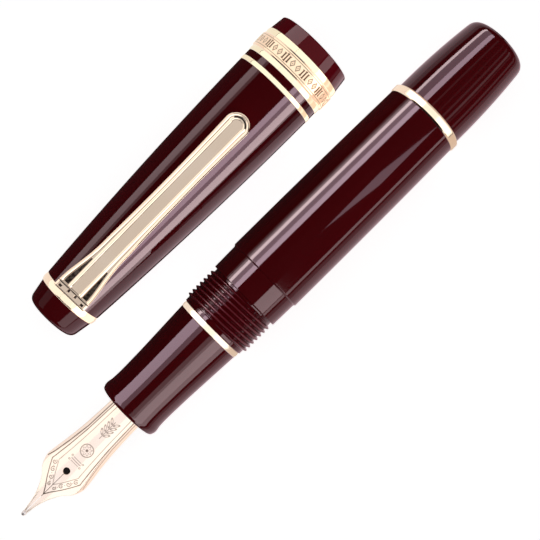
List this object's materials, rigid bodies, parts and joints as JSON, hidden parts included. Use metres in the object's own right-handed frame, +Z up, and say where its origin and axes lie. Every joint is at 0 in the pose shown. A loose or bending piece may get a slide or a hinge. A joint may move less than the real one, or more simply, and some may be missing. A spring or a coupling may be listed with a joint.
{
  "type": "fountain pen",
  "caption": "Round fountain pen with a bent metal nib, screw-on barrel, piston ink converter inside, and a banded screw cap with a long clip lying beside it.",
  "frame": {"origin": "centre of the footprint of the pen and its cap together, on the table they lie on", "axes": "+X along the pen from tail to nib, +Y from the cap towards the pen, +Z up"},
  "size_m": [0.13, 0.0422, 0.0196],
  "materials": {
    "resin": "polished dark burgundy resin",
    "gold_trim": "polished pale rose gold plate",
    "nib_gold": "polished pinkish gold with fine engraving",
    "tipping": "smooth hard metal bead",
    "black_plastic": "smooth black plastic",
    "brass_insert": "turned brass",
    "clear_plastic": "clear moulded plastic",
    "steel": "bright metal",
    "seal_rubber": "soft black rubber"
  },
  "bodies": {
    "section": {"grip_section": "resin", "section_ring": "gold_trim", "section_insert": "brass_insert", "nib_housing": "black_plastic", "nib": "nib_gold", "nib_tipping": "tipping", "feed": "black_plastic"},
    "barrel_trim": {"barrel_ring": "gold_trim"},
    "barrel_body": {"barrel": "resin", "barrel_tail": "resin"},
    "converter": {"converter_mouth": "black_plastic", "converter_tube": "clear_plastic", "converter_collar": "steel"},
    "knob": {"converter_knob": "black_plastic"},
    "piston": {"piston_rod": "steel", "piston_seal": "seal_rubber"},
    "cap_liner": {"inner_cap": "black_plastic"},
    "cap_body": {"cap_tube": "resin", "cap_finial": "resin", "clip_ring": "gold_trim", "cap_thin_ring": "gold_trim", "cap_spacer": "resin", "cap_rim_body": "gold_trim", "cap_band": "gold_trim", "cap_rim_lip": "gold_trim", "cap_lip": "resin"},
    "clip_arm": {"clip": "gold_trim"}
  },
  "joints": [
    {"name": "barrel_slide", "type": "slide", "parent": "section", "child": "barrel_trim", "axis": [-1, 0, 0], "range_m": [0, 0.075]},
    {"name": "barrel_turn", "type": "hinge", "parent": "barrel_trim", "child": "barrel_body", "pos_m": [-0.015, 0.01269, 0.0084], "axis": [-1, 0, 0], "range_deg": [0, 2520]},
    {"name": "converter_slide", "type": "slide", "parent": "section", "child": "converter", "axis": [-1, 0, 0], "range_m": [0, 0.0068]},
    {"name": "knob_turn", "type": "hinge", "parent": "converter", "child": "knob", "pos_m": [-0.028, 0.01269, 0.0084], "axis": [1, 0, 0], "range_deg": [0, 2160]},
    {"name": "piston_slide", "type": "slide", "parent": "converter", "child": "piston", "axis": [-1, 0, 0], "range_m": [0, 0.012]},
    {"name": "cap_slide", "type": "slide", "parent": "section", "child": "cap_liner", "axis": [1, 0, 0], "range_m": [0, 0.075]},
    {"name": "cap_turn", "type": "hinge", "parent": "cap_liner", "child": "cap_body", "pos_m": [0.00018, -0.01135, 0.00819], "axis": [0.9993, 0.0162, -0.0332], "range_deg": [0, 1080]},
    {"name": "clip_flex", "type": "hinge", "parent": "cap_body", "child": "clip_arm", "pos_m": [0.02904, -0.01033, 0.01422], "axis": [-0.0188, 0.9967, -0.0784], "range_deg": [0, 3], "stiffness_Nm_per_rad": 2}
  ],
  "couplings": [
    {"joint": "knob_turn", "follows": "piston_slide", "rad_per_m": 3141.6}
  ]
}
